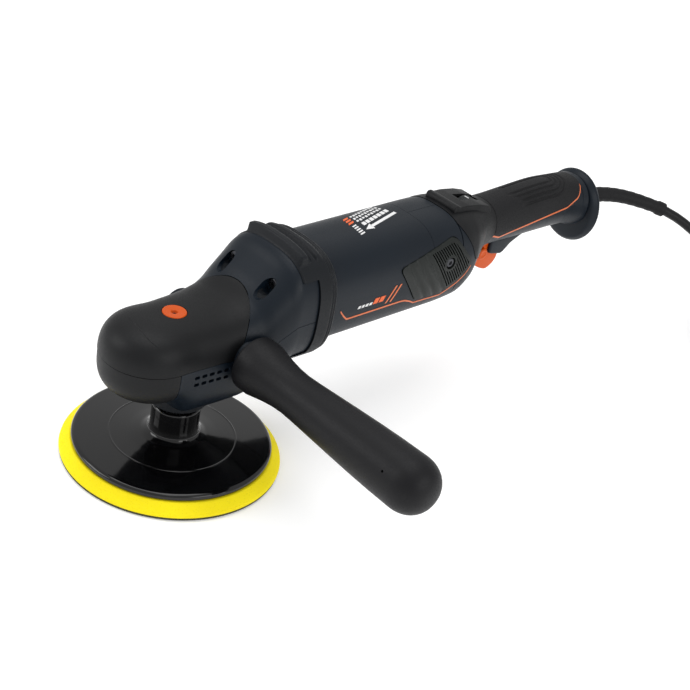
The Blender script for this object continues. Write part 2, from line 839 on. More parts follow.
class Look(Enum):
    """Every finish on the tool, with the record's material slot that it belongs to."""

    CHARCOAL = ("charcoal_shell", Finish("Charcoal soft moulding", "0d0e10", 0.5, grain=1300, depth=0.03))
    NAVY = (
        "navy_shell",
        Finish("Blue-black moulded casing", "0b141d", 0.42, grain=1100, depth=0.03, variation=0.1)
    )
    RUBBER = ("black_rubber", Finish("Black rubber", "131315", 0.6, grain=900, depth=0.05, variation=0.16))
    COLLAR = ("black_rubber", Finish("Collar rubber", "0c1015", 0.5, grain=900, depth=0.04, variation=0.12))
    LEAD = ("black_rubber", Finish("Lead sheath", "131315", 0.36, grain=700, depth=0.04))
    VENT = ("vent_plastic", Finish("Olive-grey vent moulding", "181c1a", 0.42, grain=1200, depth=0.03))
    ORANGE = (
        "orange_plastic",
        Finish("Orange switch plastic", "ca500e", 0.38, grain=1500, depth=0.02, variation=0.06)
    )
    PAD = ("gloss_black", Finish("Polished black pad plate", "060607", 0.1, grain=500, depth=0.02, coat=0.5))
    FOAM = ("yellow_foam", Finish("Yellow foam", "f8e312", 0.8, grain=700, depth=0.1, variation=0.08,
                                  rubbing=0.0, pattern=Pattern.PORES))
    HOOKS = ("hook_fabric", Finish("Hook fabric", "4a4a34", 0.95, grain=800, depth=0.4, rubbing=0.0,
                                   pattern=Pattern.HOOKS))
    GRIP = (
        "grip_plastic", Finish("Side grip moulding", "0d0d10", 0.52, grain=1000, depth=0.05, variation=0.1)
    )
    STEEL = ("steel", Finish("Ground steel", "a7a9ad", 0.3, 1.0, grain=400, depth=0.02, rubbing=0.3,
                             pattern=Pattern.BRUSHED))
    DARK_STEEL = ("steel", Finish("Blackened screw steel", "4b4c50", 0.38, 1.0, grain=500, depth=0.02,
                                  rubbing=0.5, pattern=Pattern.BRUSHED))
    CAST = ("cast_aluminium", Finish("Die-cast aluminium", "85878b", 0.5, 1.0, grain=260, depth=0.12,
                                     pattern=Pattern.CAST))
    PAINTED_CAST = ("cast_aluminium", Finish("Painted gear housing", "0b1016", 0.5, grain=260, depth=0.1,
                                             pattern=Pattern.CAST))
    BRONZE = (
        "bronze",
        Finish("Sintered bronze", "a8834c", 0.42, 1.0, grain=700, depth=0.06, pattern=Pattern.CAST)
    )
    COPPER = ("copper", Finish("Lacquered copper", "b4693a", 0.34, 1.0, grain=400, depth=0.3,
                               pattern=Pattern.WOUND, coat=0.4))
    LAMINATION = ("lamination", Finish("Stacked laminations", "686b70", 0.45, 1.0, grain=400, depth=0.2,
                                       pattern=Pattern.LAYERS))
    INNER = ("inner_plastic", Finish("Glass-filled plastic", "333336", 0.65, grain=700, depth=0.08))
    BOARD = ("circuit_board", Finish("Circuit board", "2c6b3c", 0.4, grain=900, depth=0.05, coat=0.3,
                                     pattern=Pattern.TRACKS))
    CARBON = (
        "carbon", Finish("Pressed carbon", "2f2f33", 0.55, grain=1500, depth=0.05, pattern=Pattern.CAST)
    )
    STRIPE = (
        "orange_plastic",
        Finish("Copper-orange stripe", "d8734a", 0.35, grain=1500, depth=0.01, variation=0.05)
    )
    PRINT = ("orange_plastic", Finish("White print", "e4e4e4", 0.55, grain=1500, depth=0.01, variation=0.04,
                                      rubbing=0.0))
    ORANGE_PRINT = ("orange_plastic", Finish("Orange print", "e4683a", 0.5, grain=1500, depth=0.01,
                                             variation=0.04,
                                             rubbing=0.0))
    DIAL = ("inner_plastic", Finish("Dial moulding", "2a2d2d", 0.45, grain=1300, depth=0.02, variation=0.06))

    @property
    def slot(self) -> str:
        """Returns the record's material slot."""
        return self.value[0]

    @property
    def finish(self) -> Finish:
        """Returns the finish."""
        return self.value[1]


class Workshop:
    """Makes each material once, and finishes pieces with them."""

    def __init__(self) -> None:
        """Builds the shared node groups."""
        self.groups = {"grain": mould_grain_group(), "tone": tone_group()}
        self.made: dict[Look, bpy.types.Material] = {}

    def material(self, look: Look) -> bpy.types.Material:
        """Returns the material of a look."""
        if look not in self.made:
            self.made[look] = look.finish.material(self.groups)
        return self.made[look]

    def piece(self, name: str, mesh: bmesh.types.BMesh, look: Look, body: str = "root",
              nodes: tuple[str, ...] = (), **options: float) -> bpy.types.Object:
        """Finishes a mesh.

        Args:
            name: the piece's name.
            mesh: its mesh, which is freed.
            look: its finish.
            body: the CAD body it moves with.
            nodes: the CAD nodes it stands for.
            options: edge rounding, subdivision and shading angle.

        Returns:
            The finished object.
        """
        plain = name.title().replace(" ", "").replace("-", "")
        return Piece(plain, mesh, self.material(look), look.slot, body, nodes, **options).build()

    def dress(self, node: str, look: Look) -> None:
        """Gives a CAD node that stays its material."""
        obj = frame["nodes"][node]
        obj.data.materials.clear()
        obj.data.materials.append(self.material(look))


# ------------------------------------------------------------------------------------ shapes of casings
def rounded_outline(points: Sequence[Point2], radius: float, steps: int = 5) -> list[Point2]:
    """Rounds every corner of a closed outline.

    Args:
        points: its corners.
        radius: how far from each corner the rounding begins.
        steps: segments in each rounding.

    Returns:
        The finer outline.
    """
    out: list[Point2] = []
    for i, point in enumerate(points):
        corner = Vector(point)
        before = (Vector(points[i - 1]) - corner)
        after = (Vector(points[(i + 1) % len(points)]) - corner)
        reach = min(radius, before.length * 0.45, after.length * 0.45)
        before, after = before.normalized() * reach, after.normalized() * reach
        for k in range(steps + 1):
            t = k / steps
            spot = corner + before * (1 - t) ** 2 + after * t**2
            out.append((spot.x, spot.y))
    return out


def form_solid(
    form: Form, x0: float, x1: float, proud: float, columns: int = 120, rows: int = 40
) -> bmesh.types.BMesh:
    """Makes a closed body of a form between two places along the tool.

    Args:
        form: the surface.
        x0: where it starts.
        x1: where it ends.
        proud: how far it stands off the form.
        columns: steps round the section.
        rows: steps along the tool.

    Returns:
        The closed body.
    """
    bm = sheet_mesh(lambda u, v: form.point(x0 + (x1 - x0) * v, math.tau * u, proud), columns, rows)
    rim = [e for e in bm.edges if len(e.link_faces) == 1]
    bmesh.ops.holes_fill(bm, edges=rim)
    return face_out(bm)


def ring_shell(
    form: Form, x0: float, x1: float, wall: float, columns: int = 144, rows: int = 24
) -> bmesh.types.BMesh:
    """Makes a sleeve that follows a form, open at both ends."""
    def spot(u: float, v: float) -> Vector:
        """Returns a point on the outer side of the sleeve."""
        return form.point(x0 + (x1 - x0) * v, math.tau * u)

    return thick_ring(spot, lambda u, v: spot(u, v) - form.normal(spot(u, v)) * wall, columns, rows)


@dataclass
class HeadCasings:
    """The gear head's cover, nose and the two shells of its neck."""

    shop: Workshop
    wall: float = 2.6
    seam: float = 90.0
    nose_x: float = -28.6
    arc_x: float = -1.7
    arc_radius: float = 39.7
    neck_end: float = 76.0
    parting: tuple[Point2, ...] = ((-90, 90), (36, 90), (47, 97.4), (60, 104), (120, 104))

    def _nose(self, turn: float, angle: float, proud: float = 0.0) -> Vector:
        """Returns a point of the turned nose, from the +Y side at turn 0 round to the -Y side."""
        spot = NECK.point(self.nose_x, angle, proud)
        reach = abs(spot.y) if math.cos(angle) > 1e-6 else 0.0
        return Vector((self.nose_x - math.sin(turn) * reach, math.cos(turn) * reach, spot.z))

    def _arc(self, angle: float, grow: float) -> float:
        """Returns where the arc behind the lock button crosses the section line at an angle."""
        x = 20.0
        for _ in range(4):
            across = NECK.point(x, angle).y
            x = self.arc_x + math.sqrt(max(0.0, (self.arc_radius + grow) ** 2 - across**2))
        return x

    def _cover_spot(self, u: float, v: float) -> Vector:
        """Returns a point of the cover: u runs round its outline and v from its seam to its spine."""
        side_share = 0.36
        if side_share <= u <= 1 - side_share:
            start = NECK.angle_at(self.nose_x, self.seam + 0.3)
            turn = math.pi * (u - side_share) / (1 - 2 * side_share)
            return self._nose(turn, start + (math.pi / 2 - start) * v, 0.3)
        share = (u if u < 0.5 else 1 - u) / side_share
        angle = 0.3
        for _ in range(4):
            rear = self._arc(angle, 0.0)
            x = rear + (self.nose_x - rear) * share
            start = NECK.angle_at(x, self.seam + 0.3)
            angle = start + (math.pi / 2 - start) * v
        spot = NECK.point(x, angle, 0.3)
        if v >= 1:
            spot.y = 0
        return Vector((spot.x, spot.y if u < 0.5 else -spot.y, spot.z))

    def _cover(self) -> None:
        """Builds the cover over the gears, with its hole for the lock button."""
        bm = walled(sheet_mesh(self._cover_spot, 150, 44), self.wall, axis_inside)
        bm = carve(bm, rod(8.35, (-12.4, 0, 100), (0, 0, 1), 30, 64))
        self.shop.piece("Head cover", bm, Look.CHARCOAL, nodes=("head_cover",), edge=0.45)

    def _nose_band(self) -> None:
        """Builds the band under the front of the cover."""
        top = NECK.angle_at(self.nose_x, self.seam - 0.2)
        bm = sheet_mesh(lambda u, v: self._nose(math.pi * u, -math.pi / 2 + (top + math.pi / 2) * v), 60, 40)
        bm = walled(bm, self.wall, axis_inside)
        self.shop.piece("Nose band", bm, Look.CHARCOAL, nodes=("nose_band",), edge=0.35)

    def _lower_spot(self, u: float, v: float) -> Vector:
        """Returns a point of the lower shell: u runs under the tool and v along it."""
        x = -28.3 + (self.neck_end + 28.3) * v
        start = NECK.angle_at(x, along(self.parting, x) - 0.2)
        return NECK.point(x, start - u * (math.pi + 2 * start))

    def _upper_spot(self, u: float, v: float) -> Vector:
        """Returns a point of the upper shell: u runs over the tool and v along it."""
        x, angle = 40.0, math.pi / 2
        for _ in range(3):
            front = self._arc(angle if angle <= math.pi / 2 else math.pi - angle, 0.5)
            x = front + (self.neck_end - front) * v
            start = NECK.angle_at(x, along(self.parting, x) + 0.2)
            angle = start + u * (math.pi - 2 * start)
        return NECK.point(x, angle)

    def _thick(self, outer: Place, columns: int, rows: int) -> bmesh.types.BMesh:
        """Gives a neck shell its wall."""
        def inner(u: float, v: float) -> Vector:
            """Returns the inner point behind a point of the outer side."""
            spot = outer(u, v)
            return spot - NECK.normal(spot) * self.wall

        return thick_sheet(outer, inner, columns, rows)

    def _side_holes(self) -> bmesh.types.BMesh:
        """Returns the bar that opens both side handle seats."""
        return rod(9.5, (24, -60, 88.6), (0, 1, 0), 120, 48)

    def _behind_collar(self, bm: bmesh.types.BMesh) -> bmesh.types.BMesh:
        """Trims the end of a neck shell to the tongues that reach under the collar's windows."""
        bm = carve(bm, block_mesh((63.15, 90), (-60, 60), (133.4, 160)))
        return carve(bm, block_mesh((63.15, 90), (-60, 60), (40, 77.1)))

    def _lower_shell(self) -> None:
        """Builds the lower shell, with its air slots."""
        bm = self._thick(self._lower_spot, 110, 90)
        holes = rod(20.3, (0, 0, 30), (0, 0, 1), 45, 64)
        for z in (79.2, 84.4):
            for i in range(5):
                x = -17.5 + 5.7 * i
                for reach in ((-60, -24), (24, 60)):
                    merge_in(holes, block_mesh((x, x + 4), reach, (z - 1.2, z + 1.2), 0.9, 3))
        bm = carve(self._behind_collar(bm), holes)
        bm = carve(bm, self._side_holes())
        self.shop.piece("Lower head shell", bm, Look.NAVY, nodes=("lower_shell",), edge=0.3)

    def _upper_shell(self) -> None:
        """Builds the upper shell, with the deep channels to its two screws."""
        bm = self._thick(self._upper_spot, 130, 70)
        for side in (-1, 1):
            seat = block_mesh((17, 57), tuple(sorted((side * 13.6, side * 26.4))), (112, 135.4))
            seat = carve(seat, form_solid(NECK, 14, 62, -0.3), Carving.KEEP)
            bm = carve(bm, seat, Carving.JOIN)
            channel = rod(4.4, (15, side * 20, 129), (1, 0, 0), 38, 40)
            channel = carve(channel, rod(4.4, (15, side * 20, 125.4), (1, 0, 0), 35, 40), Carving.JOIN)
            sides = sorted((side * 15.62, side * 24.38))
            channel = carve(
                channel, block_mesh((15.2, 49.8), (sides[0], sides[1]), (125.4, 129)), Carving.JOIN
            )
            bm = carve(bm, channel)
        bm = carve(self._behind_collar(bm), self._side_holes())
        self.shop.piece("Upper head shell", bm, Look.NAVY, nodes=("upper_shell",), edge=0.4)

    def _screws(self) -> None:
        """Builds the two neck screws with their hex sockets."""
        for name, side in (("left", -1), ("right", 1)):
            profile = [
                (0, 10), (2, 10), (2, 0), (3.6, 0), (3.75, -0.4), (3.75, -2.4), (3.3, -2.9), (1.7, -2.9),
                (0, -2.9)
            ]
            bm = aimed(turned_mesh(profile, 40), (1, 0, 0), (53, side * 20, 129))
            socket = bmesh.new()
            bmesh.ops.create_cone(socket, cap_ends=True, segments=6, radius1=1.7, radius2=1.7, depth=3.2)
            bm = carve(bm, aimed(socket, (1, 0, 0), (50.2, side * 20, 129)))
            self.shop.piece(
                f"Neck screw {name}", bm, Look.DARK_STEEL, nodes=(f"neck_screw_{name}",), edge=0.15
            )

    def _seats(self) -> None:
        """Builds the raised rings round the two side handle threads."""
        for name, side in (("left", -1), ("right", 1)):
            profile = rounded_profile([(9.4, 33), (12.2, 33), (12.0, 40.6, 0.9), (9.4, 40.6, 0.5), (9.4, 33)])
            bm = aimed(turned_mesh(profile, 64), (0, side, 0), (24, 0, 88.6))
            self.shop.piece(f"Handle seat {name}", bm, Look.NAVY)

    def build(self) -> None:
        """Builds every piece of the head's casing."""
        self._cover()
        self._nose_band()
        self._lower_shell()
        self._upper_shell()
        self._screws()
        self._seats()


@dataclass
class Collar:
    """The rubber collar between neck and barrel, with its two ridges and side windows."""

    shop: Workshop
    start: float = 63.3
    end: float = 95.6
    rise: float = 5.4
    half_width: float = 27.0
    knots: tuple[Point2, ...] = (
        (63.3, 39.4), (63.7, 40.4), (64.7, 41.1), (66, 41.2), (84, 41.4), (86.3, 41.4), (87.1, 40.9),
        (87.6, 40.5),
        (88.1, 40.6), (88.8, 41.0), (89.4, 40.8), (90, 40.2), (90.6, 40.4), (91.2, 40.6), (92.4, 39.9),
        (93.6, 38.8), (94.9, 37.4), (95.6, 36.2),
    )

    def _spot(self, u: float, v: float) -> Vector:
        """Returns a point of the collar: u runs round it and v along it."""
        x = self.start + (self.end - self.start) * v
        half = along(self.knots, x)
        angle = math.tau * u
        c, n = bulge(math.cos(angle), 2.8), bulge(math.sin(angle), 2.8)
        if n > 0:
            window = 1 - smoothstep(self.half_width - 3.4, self.half_width + 1.2, abs(half * c))
            front = smoothstep(63.9, 66.6, x) * (1 - smoothstep(69.5, 77.2, x)) * self.rise
            rear = smoothstep(79, 81, x) * (1 - smoothstep(83, 87.4, x)) * self.rise / 3
            half += (front + rear) * window * smoothstep(0.3, 0.7, n)
        return Vector((x, half * c, AXIS_Z + half * n))

    def _bore(self, u: float, v: float) -> Vector:
        """Returns a point of the collar's bore."""
        angle = math.tau * u
        across, up = bulge(math.cos(angle), 2.8), bulge(math.sin(angle), 2.8)
        return Vector((self.start + (self.end - self.start) * v, 35.9 * across, AXIS_Z + 35.9 * up))

    def build(self) -> None:
        """Builds the collar."""
        bm = thick_ring(self._spot, self._bore, 240, 88)
        for side in (-1, 1):
            near, far = sorted((side * 29.6, side * 60))
            window = block_mesh((50, 76.3), (near, far), (76.7, 133.8))
            bm = carve(bm, window)
        self.shop.piece("Collar", bm, Look.COLLAR, nodes=("collar",), edge=0.4)


@dataclass
class Barrel:
    """The motor's housing and the vent covers behind it."""

    shop: Workshop
    outline: tuple[Point2, ...] = ((157, 120.6), (178.5, 90.4), (207, 89), (224, 97), (235, 108), (214, 132))
    screw: Point2 = (209, 113.6)

    def _grown(self, amount: float) -> list[Point2]:
        """Returns the covers' outline with its corners moved out from its middle."""
        middle = sum((Vector(p) for p in self.outline), Vector((0, 0))) / len(self.outline)
        return [tuple(Vector(p) + (Vector(p) - middle).normalized() * amount) for p in self.outline]

    def window(self) -> bmesh.types.BMesh:
        """Returns the cutter of the openings that the vent covers fill."""
        return side_plate(rounded_outline(self._grown(0.5), 5), -60, 60)

    def _housing(self) -> None:
        """Builds the motor housing."""
        bm = carve(ring_shell(BARREL, 84.3, 191.9, 2.8, rows=36), self.window())
        self.shop.piece("Motor housing", bm, Look.NAVY, nodes=("motor_housing",), edge=0.25)

    def _cover(self, name: str, side: int) -> None:
        """Builds one vent cover.

        Args:
            name: left or right.
            side: -1 or +1, its side of the tool.
        """
        def spot(u: float, v: float, proud: float = 0.8) -> Vector:
            """Returns a point of the outer side from its two shares."""
            angle = -0.75 + 1.9 * u
            x = 150 + 92 * v
            lean = x + 0.712 * (BARREL.point(x, angle).z - 120.6)
            if proud > 0:
                rib = 0.5 - 0.5 * math.cos(math.tau * (lean - 167) / 10)
                proud -= 0.8 * (1 - rib) ** 2 * smoothstep(160, 163, lean) * (1 - smoothstep(189, 192, lean))
            return BARREL.point(x, angle if side > 0 else math.pi - angle, proud)

        bm = thick_sheet(spot, lambda u, v: spot(u, v, -1.6), 110, 110)
        low, high = sorted((side * 12, side * 60))
        bm = carve(bm, side_plate(rounded_outline(self.outline, 5), low, high), Carving.KEEP)
        bm = carve(bm, rod(4.6, (self.screw[0], side * 20, self.screw[1]), (0, side, 0), 40, 32))
        holes = bmesh.new()
        for i in range(14):
            x, z = 191.4 + 2.45 * i, 134.0
            bar = [(x - 9.5, z), (x - 8.3, z), (x + 24.7, z - 46.35), (x + 23.5, z - 46.35)]
            merge_in(holes, side_plate(bar, low, high))
        field = side_plate(rounded_outline(self._grown(-3.4), 4), low - 1, high + 1)
        holes = carve(holes, field, Carving.KEEP)
        holes = carve(holes, rod(6.4, (self.screw[0], side * 11, self.screw[1]), (0, side, 0), 52, 32))
        bm = carve(bm, holes)
        self.shop.piece(f"Vent cover {name}", bm, Look.VENT, nodes=(f"vent_cover_{name}",), edge=0.22)
        cup = turned_mesh(rounded_profile([
            (4.5, 35.6), (4.5, 33.2), (2.1, 33.2), (2.1, 31.8), (5.4, 31.8), (5.4, 35.6, 0.3), (4.5, 35.6),
        ]), 40)
        way, place = (0, side, 0), (self.screw[0], 0, self.screw[1])
        self.shop.piece(f"Vent screw well {name}", aimed(cup, way, place), Look.VENT)
        head = turned_mesh([
            (0, 24), (1.9, 24), (1.9, 33.3), (3.7, 33.3), (3.8, 33.7), (3.7, 35.0), (3.2, 35.4), (0, 35.4),
        ], 40)
        star = bmesh.new()
        bmesh.ops.create_cone(star, cap_ends=True, segments=6, radius1=1.7, radius2=1.7, depth=2)
        bmesh.ops.translate(star, verts=star.verts, vec=(0, 0, 35.4))
        head = aimed(carve(head, star), way, place)
        self.shop.piece(f"Vent screw {name}", head, Look.DARK_STEEL, nodes=(f"vent_screw_{name}",), edge=0.12)

    def build(self) -> None:
        """Builds the housing and both covers."""
        self._housing()
        self._cover("left", -1)
        self._cover("right", 1)


@dataclass
class RearHandle:
    """The handle's half shells, its soft panels and the bell at its end."""

    shop: Workshop
    air: Callable[[], bmesh.types.BMesh]
    saddle: tuple[Point2, ...] = (
        (222, 137), (232, 122), (240, 108), (252, 104), (270, 108.6), (275.4, 112.5)
    )
    grip: tuple[Point2, ...] = ((275.6, 112.4), (284, 109), (362, 118), (374, 124), (380, 132), (380.6, 134))
    cheek: tuple[Point2, ...] = (
        (286.4, 106), (286.4, 90), (289, 88.6), (301, 86), (303.6, 87), (311, 93.4), (322, 98), (336, 101),
        (336, 106),
    )
    exit_z: float = 108.4

    def _line(self, x: float, lift: float) -> float:
        """Returns the angle of the panels' lower edge at x, or a quarter turn where there is no panel."""
        if x < 222 or x > 380.4:
            return math.pi / 2
        knots = self.saddle if x < 275.5 else self.grip
        return min(math.pi / 2, BARREL.angle_at(x, along(knots, x) + lift))

    def _shell(self, name: str, side: int) -> None:
        """Builds one half shell.

        Args:
            name: left or right.
            side: -1 or +1, its side of the tool.
        """
        def spot(u: float, v: float, proud: float = 0.0) -> Vector:
            """Returns a point of the outer side from its two shares."""
            x = 192.15 + (386 - 192.15) * v
            top = self._line(x, -0.15)
            point = BARREL.point(x, -math.pi / 2 + (top + math.pi / 2) * u, proud)
            return Vector((x, side * max(abs(point.y), 0.14), point.z))

        bm = thick_sheet(spot, lambda u, v: spot(u, v, -2.6), 64, 210)
        near, far = sorted((side * 0.3, side * 10))
        cheek = side_plate(rounded_outline(self.cheek, 2.2, 4), near, far, 0)
        round_edges(cheek, 1.4, 60, 3)
        bm = carve(bm, cheek, Carving.JOIN)
        bm = carve(bm, block_mesh((268, 308), (-7.4, 7.4), (60, 107), 0.0))
        bm = carve(bm, self.air())
        bm = carve(bm, rod(7.9, (370, 0, self.exit_z), (1, 0, 0), 40, 40))
        self.shop.piece(f"Handle shell {name}", bm, Look.NAVY, nodes=(f"handle_shell_{name}",), edge=0.3)

    def _groove(self, x: float, angle: float) -> float:
        """Returns how deep the grip's nested grooves are at a place on it."""
        across = abs(math.pi / 2 - angle) * 18.5
        depth = 0.0
        for k in range(4):
            half, reach = 4.6 + 4.3 * k, 5.5 + 4.6 * k
            if x < 346:
                away = abs(across - half)
            else:
                away = abs(math.hypot((x - 346) * half / reach, across) - half)
            front = 296 + 3.0 * k
            depth = max(depth, (1 - smoothstep(0.45, 1.5, away)) * smoothstep(front, front + 10, x))
        return depth

    def _grip(self) -> None:
        """Builds the soft panel over the handle."""
        def spot(u: float, v: float) -> Vector:
            """Returns a point of the outer side from its two shares."""
            x = 275.75 + (380.3 - 275.75) * v
            start = self._line(x, 0.15)
            angle = start + (math.pi - 2 * start) * u
            return BARREL.point(x, angle, 0.45 - 1.0 * self._groove(x, angle))

        bm = walled(sheet_mesh(spot, 190, 320), 1.5, lambda middle: Vector((middle.x, 0, 106)))
        self.shop.piece("Handle grip", bm, Look.RUBBER, nodes=("handle_grip",), edge=0.25)

    def _dial_room(self) -> bmesh.types.BMesh:
        """Returns the cutter of the slot that the dial stands in."""
        return block_mesh((243.4, 268.6), (-4.9, 4.9), (110, 160), 1.0, 3)

    def _saddle(self) -> None:
        """Builds the soft panel and raised platform round the dial."""
        def spot(u: float, v: float, proud: float = 0.35) -> Vector:
            """Returns a point of the outer side from its two shares."""
            x = 222.2 + (275.4 - 222.2) * v
            start = self._line(x, 0.15)
            return BARREL.point(x, start + (math.pi - 2 * start) * u, proud)

        bm = thick_sheet(spot, lambda u, v: spot(u, v, -1.6), 90, 90)
        shape = [(226, 133), (226, 142.4), (227.4, 144.8), (230.6, 144.8), (233.4, 143.2), (242, 142.8),
                 (256, 140.6),
                 (267, 137.4), (269, 134), (269, 128)]
        platform = side_plate(rounded_outline(shape, 1.4, 4), -15, 15)
        round_edges(platform, 1.1, 60, 3)
        platform = carve(platform, self._dial_room())
        self.shop.piece("Dial platform", platform, Look.CHARCOAL)
        bm = carve(bm, self._dial_room())
        self.shop.piece("Dial saddle", bm, Look.CHARCOAL, nodes=("dial_saddle",), edge=0.35)

    def _bell(self) -> None:
        """Builds the bell that ends the handle."""
        rims = rounded_profile([
            (8, 0), (2.8, 1.4, 1.2), (0, 5.2, 1.5), (0, 7.4, 1.2), (2.6, 10.8, 1.2), (8.4, 14.2, 1.2),
            (14, 17.4, 1.2), (19, 19),
        ])
        count = len(rims) - 1

        def spot(u: float, v: float) -> Vector:
            """Returns a point of the outer side from its two shares."""
            inset, x = rims[round(v * count)]
            angle = math.tau * u
            half, rise = 27 - inset * 0.9, 30.4 - inset
            return Vector((387.3 + x, half * math.cos(angle), 105 + rise * math.sin(angle)))

        bm = sheet_mesh(spot, 96, count)
        bmesh.ops.holes_fill(bm, edges=[e for e in bm.edges if len(e.link_faces) == 1])
        face_out(bm)
        bm = carve(bm, rod(7.9, (370, 0, self.exit_z), (1, 0, 0), 60, 40))
        self.shop.piece("End bell", bm, Look.NAVY, nodes=("end_flange",), edge=0.3)

    def build(self) -> None:
        """Builds the handle."""
        self._shell("left", -1)
        self._shell("right", 1)
        self._grip()
        self._saddle()
        self._bell()


@dataclass
class Controls:
    """The trigger, its lock-on knob, the speed dial and the spindle lock."""

    shop: Workshop

    def _trigger(self) -> None:
        """Builds the lobed trigger and the knob in its side."""
        outline = [
            (271, 100), (275, 102.6), (283, 103), (297, 102), (300.4, 96), (301.6, 88), (301.6, 81.6),
            (298.6, 77),
            (294, 74), (290.4, 73), (284, 75.2), (277, 79.4), (272.4, 84.4), (270.8, 91),
        ]
        bm = side_plate(rounded_outline(outline, 4, 4), -7, 7)
        round_edges(bm, 1.7, 60, 4)
        bm = carve(bm, rod(5.05, (278.6, -20, 91.2), (0, 1, 0), 17.8, 40))
        self.shop.piece("Trigger", bm, Look.ORANGE, "trigger", nodes=("trigger",))
        knob = turned_mesh(rounded_profile([
            (0, 4.9), (4.7, 4.9), (4.7, 11, 1.5), (2.6, 11, 0.4), (2.2, 10.5, 0.3), (0, 10.5),
        ]), 48)
        knob = aimed(knob, (0, -1, 0), (278.6, 0, 91.2))
        self.shop.piece("Lock-on knob", knob, Look.ORANGE, "lock_on", nodes=("lock_on_button",), edge=0.1)

    def _dial(self) -> None:
        """Builds the dial with fine teeth across its rim and a tick at every eighth of a turn."""
        teeth = 60

        def spot(u: float, v: float) -> Vector:
            """Returns a point on the toothed rim."""
            angle = math.tau * u
            across = -4.5 + 9 * v
            tooth = 0.32 * (0.5 + 0.5 * math.cos(teeth * angle))
            edge = 0.7 * (1 - smoothstep(0, 0.8, 4.5 - abs(across)))
            radius = 11.4 - edge - (tooth if abs(across) < 3.2 else 0)
            return Vector((256 + radius * math.cos(angle), across, 128.4 + radius * math.sin(angle)))

        bm = sheet_mesh(spot, 480, 14)
        bmesh.ops.holes_fill(bm, edges=[e for e in bm.edges if len(e.link_faces) == 1])
        face_out(bm)
        bm = carve(bm, rod(1.7, (256, -10, 128.4), (0, 1, 0), 20, 24))
        self.shop.piece("Speed dial", bm, Look.DIAL, "dial", nodes=("speed_dial",))
        ticks = bmesh.new()
        for k in range(8):
            angle = math.tau * k / 8
            tick = block_mesh(
                (10.9, 11.52), (-2.4 + 0.35 * (k % 3), 2.4 - 0.35 * (k % 2)), (-0.35, 0.35), 0.05, 1
            )
            turn = Matrix.Rotation(-angle, 3, "Y")
            bmesh.ops.rotate(tick, verts=tick.verts, cent=(0, 0, 0), matrix=turn)
            bmesh.ops.translate(tick, verts=tick.verts, vec=(256, 0, 128.4))
            merge_in(ticks, tick)
        self.shop.piece("Dial ticks", ticks, Look.PRINT, "dial")

    def _spindle_lock(self) -> None:
        """Builds the lock button."""
        profile = rounded_profile([
            (0, 95), (3.0, 95), (3.0, 111.9), (8, 111.9), (8, 114.8, 0.8), (4.4, 114.5, 0.6),
            (2.3, 114.3, 0.4),
            (1.8, 112.6, 0.3), (0, 112.4),
        ])
        bm = turned_mesh(profile, 64)
        bmesh.ops.translate(bm, verts=bm.verts, vec=(-12.4, 0, 0))
        self.shop.piece(
            "Spindle lock button", bm, Look.ORANGE, "spindle_lock", nodes=("spindle_lock_button",)
        )
        centre = turned_mesh([(0, 112.35), (1.75, 112.35), (1.75, 112.6), (0, 112.6)], 24)
        bmesh.ops.translate(centre, verts=centre.verts, vec=(-12.4, 0, 0))
        self.shop.piece("Lock button eye", centre, Look.RUBBER, "spindle_lock")

    def build(self) -> None:
        """Builds every control."""
        self._trigger()
        self._dial()
        self._spindle_lock()


@dataclass
class Pad:
    """The polishing pad on the spindle."""

    shop: Workshop

    def build(self) -> None:
        """Builds the hook disc, the foam and the plate with its hub."""
        hooks = turned_mesh(rounded_profile([(0, 0), (74.6, 0, 0.6), (74.6, 1.8, 0.8), (0, 1.8)]), 180)
        self.shop.piece("Hook face", hooks, Look.HOOKS, "spindle", nodes=("hook_face",))
        foam = turned_mesh(rounded_profile([
            (0, 1.9), (75, 1.9, 0.5), (74.6, 4.3, 1.2), (71.6, 7, 1), (68.4, 9.5, 0.6), (0, 9.5),
        ]), 180)
        self.shop.piece("Foam pad", foam, Look.FOAM, "spindle", nodes=("foam_pad",))
        plate = turned_mesh(rounded_profile([
            (0, 9.8), (66.8, 9.8, 0.4), (67.6, 10.6, 0.4), (67.6, 12.9, 0.9), (65.8, 14.3, 1.2),
            (43.4, 15.0, 0.4),
            (43.0, 15.3, 0.2), (42.6, 15.3, 0.2), (42.2, 15.1, 0.4), (30, 16.4, 2), (21.8, 17.8, 1.6),
            (17.2, 20.4, 1.6), (16.5, 25, 1.2), (16.5, 39.4, 0.5), (15.6, 40.3, 0.3), (7.3, 40.3),
            (7.3, 12.8),
            (0, 12.8),
        ], 5), 180)
        self.shop.piece("Backing plate", plate, Look.PAD, "spindle", nodes=("backing_plate",))


@dataclass
class SideHandle:
    """The screwed-in side handle."""

    shop: Workshop
    length: float = 163.0

    def build(self) -> None:
        """Builds the turned grip."""
        knots = [
            (19.0, 10.0), (17.9, 15), (16.3, 23), (15, 32), (14.5, 41), (14.9, 52), (15.7, 66), (16.8, 85),
            (17.9, 106), (18.6, 124), (19, 144)
        ]
        profile = [(5.2, 0), (17.6, 0), (18.4, 0.3), (18.9, 0.9), (19, 1.8), *knots]
        for i in range(1, 12):
            angle = math.pi / 2 * i / 12
            profile.append((19 * math.cos(angle) ** 0.8, 144 + 19 * math.sin(angle)))
        profile += [(0, self.length), (0, 30), (5.2, 30), (5.2, 0)]
        bm = aimed(turned_mesh(profile, 96), (0, -1, 0), (24, -40.9, 88.6))
        out = Vector((-0.882, 0, 0.471))
        bm = carve(bm, rod(0.85, Vector((24, -176.6, 88.6)) + out * 22, -out, 8, 24))
        self.shop.piece("Side handle", bm, Look.GRIP, nodes=("side_handle",))


